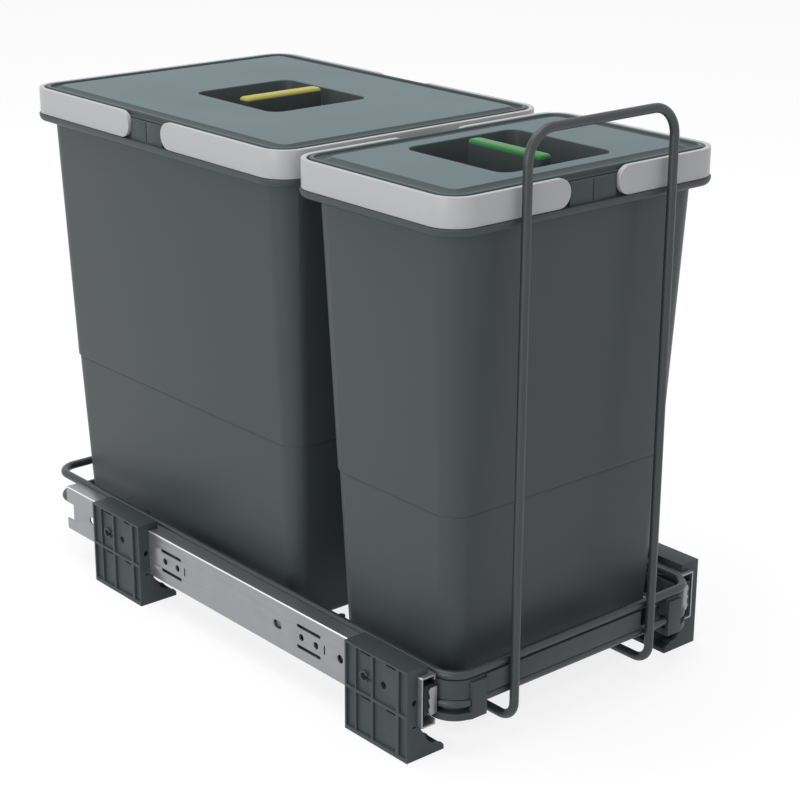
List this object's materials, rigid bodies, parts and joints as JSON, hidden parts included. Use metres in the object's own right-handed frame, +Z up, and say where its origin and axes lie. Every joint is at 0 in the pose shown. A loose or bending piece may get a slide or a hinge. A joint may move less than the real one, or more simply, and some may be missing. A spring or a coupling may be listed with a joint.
{
  "type": "pull out trash cabinet",
  "caption": "Pull out waste sorter for a narrow base cabinet: lidded bins with drop handles in a wire carriage on ball bearing rails with floor brackets.",
  "frame": {"origin": "on the cabinet floor, under the middle of the whole unit's box", "axes": "+Z up; the carriage pulls out along -Y, out of the cabinet; +X is to the right for someone looking along +Y into the cabinet"},
  "size_m": [0.264, 0.469, 0.392],
  "materials": {
    "bin_plastic": "fine matt moulded dark grey green",
    "bracket_plastic": "matt moulded dark grey",
    "lid_plastic": "satin moulded slate grey",
    "handle_plastic": "satin moulded light grey",
    "yellow_plastic": "moulded yellow",
    "green_plastic": "moulded green",
    "black_plastic": "matt black",
    "coated_wire": "satin dark grey powder coat",
    "zinc_sheet": "bright zinc plated sheet",
    "cage_sheet": "plain steel strip",
    "ball_steel": "polished steel",
    "screw_steel": "zinc plated"
  },
  "bodies": {
    "frame": {"bracket_front_left": "bracket_plastic", "bracket_rear_left": "bracket_plastic", "bracket_front_right": "bracket_plastic", "bracket_rear_right": "bracket_plastic", "outer_rail_left": "zinc_sheet", "outer_rail_right": "zinc_sheet", "rail_screws": "screw_steel"},
    "left_outer_cage": {"outer_cage_left": "cage_sheet", "outer_balls_left": "ball_steel"},
    "right_outer_cage": {"outer_cage_right": "cage_sheet", "outer_balls_right": "ball_steel"},
    "left_middle_rail": {"middle_rail_left": "zinc_sheet", "middle_buffer_left": "black_plastic"},
    "right_middle_rail": {"middle_rail_right": "zinc_sheet", "middle_buffer_right": "black_plastic"},
    "left_inner_cage": {"inner_cage_left": "cage_sheet", "inner_balls_left": "ball_steel"},
    "right_inner_cage": {"inner_cage_right": "cage_sheet", "inner_balls_right": "ball_steel"},
    "carriage": {"inner_rail_left": "zinc_sheet", "inner_rail_right": "zinc_sheet", "upper_wire_ring": "coated_wire", "lower_wire_ring": "coated_wire", "front_hoop": "coated_wire", "cross_wires": "coated_wire", "ring_stubs": "coated_wire", "front_strip": "bracket_plastic", "corner_clip_left": "bracket_plastic", "corner_clip_right": "bracket_plastic", "clip_screws": "screw_steel"},
    "rear_bin": {"large_bin": "bin_plastic"},
    "front_bin": {"small_bin": "bin_plastic"},
    "rear_lid": {"large_lid": "lid_plastic", "yellow_grip_cap": "yellow_plastic"},
    "front_lid": {"small_lid": "lid_plastic", "green_grip_cap": "green_plastic"},
    "rear_bin_front_handle": {"large_front_handle": "handle_plastic"},
    "rear_bin_rear_handle": {"large_rear_handle": "handle_plastic"},
    "front_bin_left_handle": {"small_left_handle": "handle_plastic"},
    "front_bin_right_handle": {"small_right_handle": "handle_plastic"}
  },
  "joints": [
    {"name": "pull_out", "type": "slide", "parent": "frame", "child": "carriage", "axis": [0, -1, 0], "range_m": [0, 0.4]},
    {"name": "left_middle_slide", "type": "slide", "parent": "frame", "child": "left_middle_rail", "axis": [0, -1, 0], "range_m": [0, 0.2]},
    {"name": "right_middle_slide", "type": "slide", "parent": "frame", "child": "right_middle_rail", "axis": [0, -1, 0], "range_m": [0, 0.2]},
    {"name": "left_outer_cage_roll", "type": "slide", "parent": "frame", "child": "left_outer_cage", "axis": [0, -1, 0], "range_m": [0, 0.1]},
    {"name": "right_outer_cage_roll", "type": "slide", "parent": "frame", "child": "right_outer_cage", "axis": [0, -1, 0], "range_m": [0, 0.1]},
    {"name": "left_inner_cage_roll", "type": "slide", "parent": "left_middle_rail", "child": "left_inner_cage", "axis": [0, -1, 0], "range_m": [0, 0.1]},
    {"name": "right_inner_cage_roll", "type": "slide", "parent": "right_middle_rail", "child": "right_inner_cage", "axis": [0, -1, 0], "range_m": [0, 0.1]},
    {"name": "rear_bin_lift", "type": "slide", "parent": "carriage", "child": "rear_bin", "axis": [0, 0, 1], "range_m": [0, 0.3]},
    {"name": "front_bin_lift", "type": "slide", "parent": "carriage", "child": "front_bin", "axis": [0, 0, 1], "range_m": [0, 0.3]},
    {"name": "rear_lid_lift", "type": "slide", "parent": "rear_bin", "child": "rear_lid", "axis": [0, 0, 1], "range_m": [0, 0.08]},
    {"name": "front_lid_lift", "type": "slide", "parent": "front_bin", "child": "front_lid", "axis": [0, 0, 1], "range_m": [0, 0.055]},
    {"name": "rear_bin_front_handle_hinge", "type": "hinge", "parent": "rear_bin", "child": "rear_bin_front_handle", "pos_m": [0, 0.053, 0.3464], "axis": [-1, 0, 0], "range_deg": [0, 90]},
    {"name": "rear_bin_rear_handle_hinge", "type": "hinge", "parent": "rear_bin", "child": "rear_bin_rear_handle", "pos_m": [0, 0.1096, 0.3464], "axis": [1, 0, 0], "range_deg": [0, 90]},
    {"name": "front_bin_left_handle_hinge", "type": "hinge", "parent": "front_bin", "child": "front_bin_left_handle", "pos_m": [-0.0296, -0.1512, 0.3464], "axis": [0, 1, 0], "range_deg": [0, 90]},
    {"name": "front_bin_right_handle_hinge", "type": "hinge", "parent": "front_bin", "child": "front_bin_right_handle", "pos_m": [0.0296, -0.1512, 0.3464], "axis": [0, -1, 0], "range_deg": [0, 90]}
  ],
  "couplings": [
    {"joint": "left_middle_slide", "follows": "pull_out", "ratio": 0.5},
    {"joint": "right_middle_slide", "follows": "pull_out", "ratio": 0.5},
    {"joint": "left_outer_cage_roll", "follows": "pull_out", "ratio": 0.25},
    {"joint": "right_outer_cage_roll", "follows": "pull_out", "ratio": 0.25},
    {"joint": "left_inner_cage_roll", "follows": "pull_out", "ratio": 0.25},
    {"joint": "right_inner_cage_roll", "follows": "pull_out", "ratio": 0.25}
  ]
}
